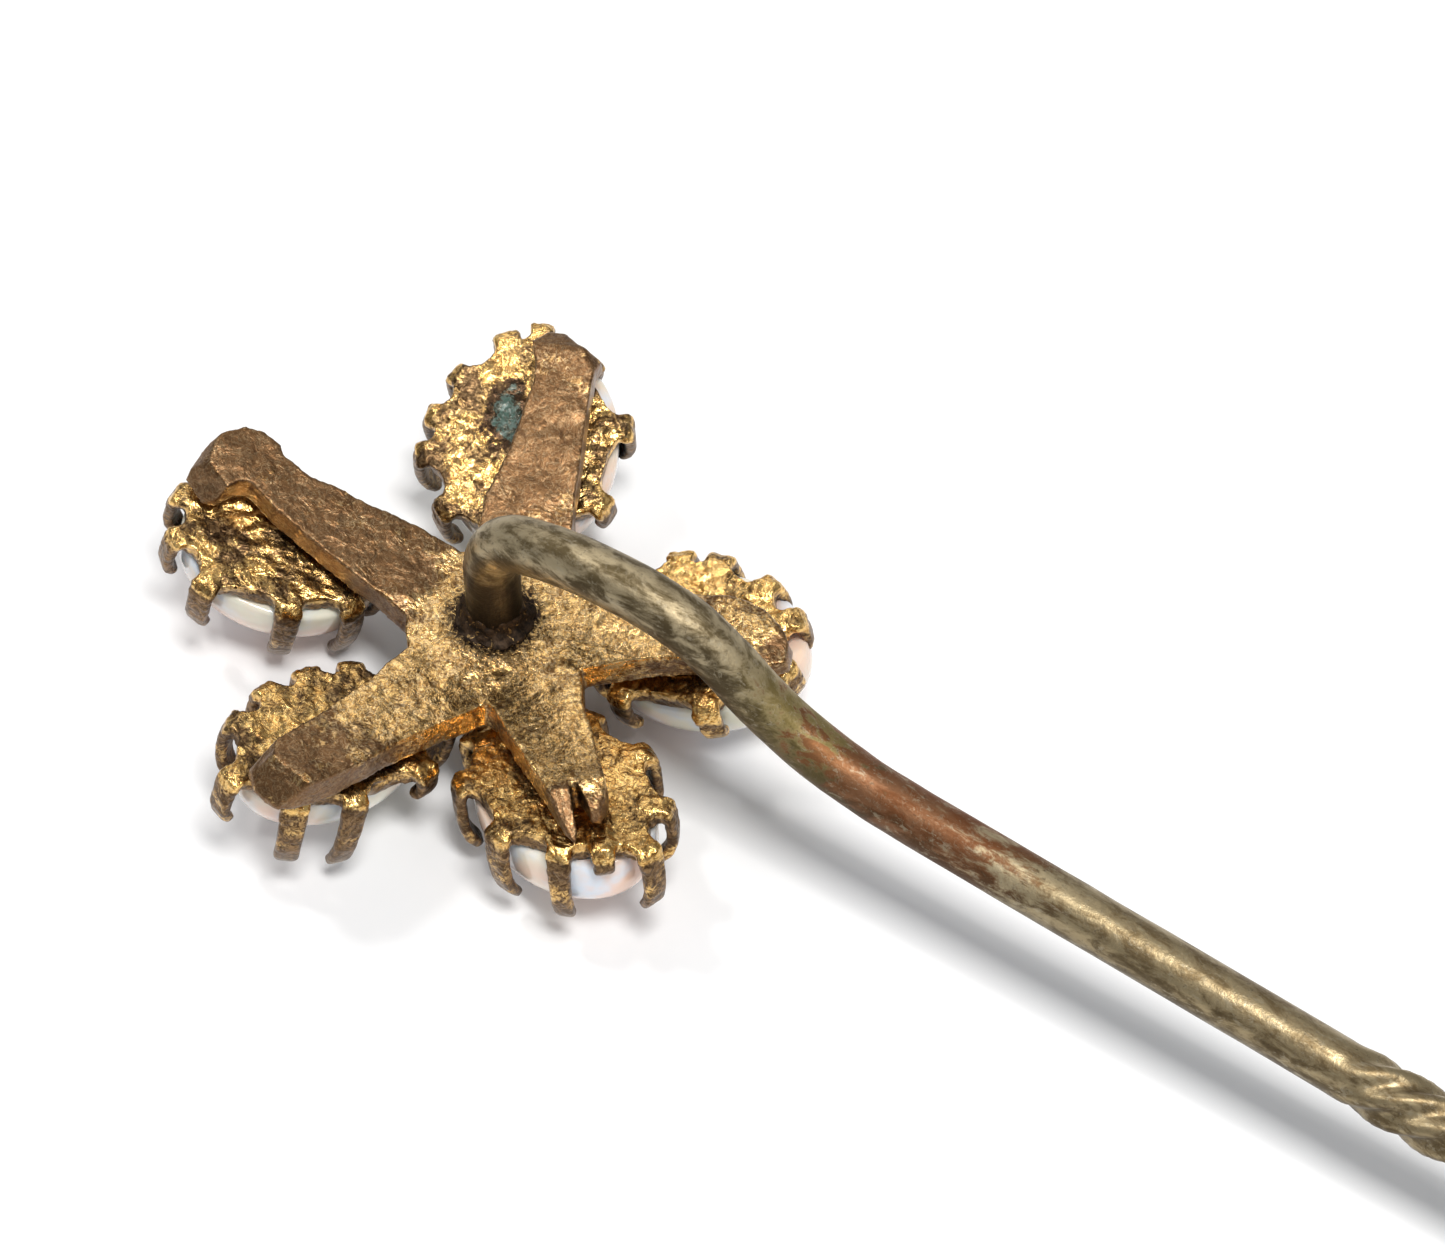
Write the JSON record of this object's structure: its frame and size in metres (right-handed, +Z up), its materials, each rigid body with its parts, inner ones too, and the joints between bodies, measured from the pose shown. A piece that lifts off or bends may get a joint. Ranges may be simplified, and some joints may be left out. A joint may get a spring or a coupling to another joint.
{
  "type": "hat pin",
  "caption": "Ornamental pin with a star frame of claw-set oval stones and a bent wire stem with a twisted grip and a tapered point.",
  "frame": {"origin": "under the middle of the whole pin's box, on the surface that it lies on face down", "axes": "+X along the stem from the head to the point, +Z up out of the head's back, where the wire stands"},
  "size_m": [0.0746, 0.0132, 0.0073],
  "materials": {
    "gilt": "cast, grainy gilt worn and tarnished to brown",
    "cup_gilt": "stamped and crinkled gilt, dark in the creases",
    "opal_glass": "polished milky opalescent glass",
    "pin_metal": "drawn wire, mottled grey-olive patina with copper-brown patches",
    "solder": "rough, blackened solder"
  },
  "bodies": {
    "root": {"claw_cup_1": "cup_gilt", "claw_cup_2": "cup_gilt", "claw_cup_3": "cup_gilt", "claw_cup_4": "cup_gilt", "claw_cup_5": "cup_gilt", "front_boss": "gilt", "opal_stone_1": "opal_glass", "opal_stone_2": "opal_glass", "opal_stone_3": "opal_glass", "opal_stone_4": "opal_glass", "opal_stone_5": "opal_glass", "pin_wire": "pin_metal", "post_solder_collar": "solder", "solder_pad_1": "solder", "solder_pad_2": "solder", "solder_pad_3": "solder", "solder_pad_4": "solder", "solder_pad_5": "solder", "star_frame": "gilt"}
  },
  "joints": []
}
